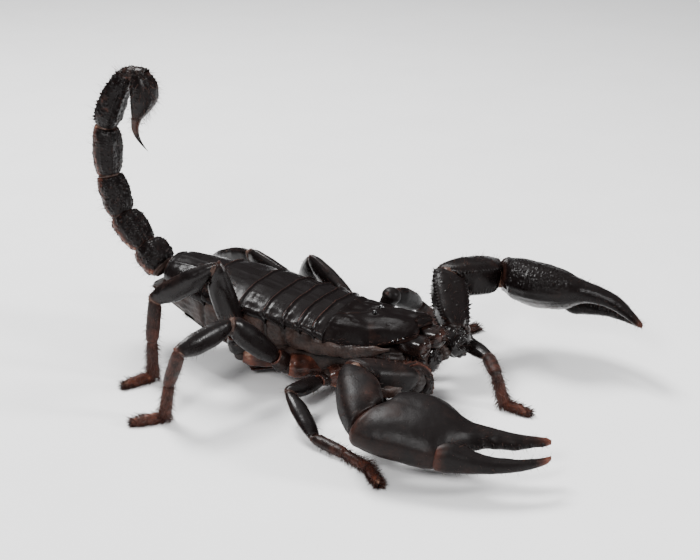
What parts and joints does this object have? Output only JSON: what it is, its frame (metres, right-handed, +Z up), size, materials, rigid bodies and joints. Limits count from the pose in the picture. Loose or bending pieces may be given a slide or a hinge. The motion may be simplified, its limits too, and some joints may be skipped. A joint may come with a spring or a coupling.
{
  "type": "emperor scorpion",
  "caption": "Life-size still emperor scorpion standing on all its legs, claws held forward, tail arched up with the sting folded over.",
  "frame": {"origin": "middle of the whole animal's footprint box, on the floor it stands on", "axes": "+Z up, -Y the way the animal faces, +X its left side"},
  "size_m": [0.1094, 0.1612, 0.0835],
  "materials": {
    "black_shell": "glossy blue-black to brown-black chitin, finely granular",
    "brown_shell": "dark red-brown chitin, semi-gloss",
    "red_tarsus": "red-brown leg ends with fine bristles, satin",
    "membrane": "grey-brown soft joint and flank skin, finely creased",
    "sting_tip": "red-brown to black, polished",
    "eye": "polished black bead"
  },
  "bodies": {
    "root": {"carapace": "black_shell", "eye_left": "eye", "eye_right": "eye", "chelicera_left": "black_shell", "chelicera_right": "black_shell", "coxae": "brown_shell", "tergite_1": "black_shell", "tergite_2": "black_shell", "tergite_3": "black_shell", "tergite_4": "black_shell", "tergite_5": "black_shell", "tergite_6": "black_shell", "tergite_7": "black_shell", "belly": "membrane", "pecten_left": "brown_shell", "pecten_right": "brown_shell", "tail_1": "black_shell", "tail_2": "black_shell", "tail_3": "black_shell", "tail_4": "black_shell", "tail_5": "black_shell", "vesicle": "black_shell", "sting": "sting_tip", "pedipalp_left_trochanter": "black_shell", "pedipalp_left_femur": "black_shell", "pedipalp_left_patella": "black_shell", "hand_left": "black_shell", "finger_left": "brown_shell", "leg_left_1_femur": "black_shell", "leg_left_1_patella": "black_shell", "leg_left_1_foot": "red_tarsus", "leg_left_2_femur": "black_shell", "leg_left_2_patella": "black_shell", "leg_left_2_foot": "red_tarsus", "leg_left_3_femur": "black_shell", "leg_left_3_patella": "black_shell", "leg_left_3_foot": "red_tarsus", "leg_left_4_femur": "black_shell", "leg_left_4_patella": "black_shell", "leg_left_4_foot": "red_tarsus", "pedipalp_right_trochanter": "black_shell", "pedipalp_right_femur": "black_shell", "pedipalp_right_patella": "black_shell", "hand_right": "black_shell", "finger_right": "brown_shell", "leg_right_1_femur": "black_shell", "leg_right_1_patella": "black_shell", "leg_right_1_foot": "red_tarsus", "leg_right_2_femur": "black_shell", "leg_right_2_patella": "black_shell", "leg_right_2_foot": "red_tarsus", "leg_right_3_femur": "black_shell", "leg_right_3_patella": "black_shell", "leg_right_3_foot": "red_tarsus", "leg_right_4_femur": "black_shell", "leg_right_4_patella": "black_shell", "leg_right_4_foot": "red_tarsus"}
  },
  "joints": []
}
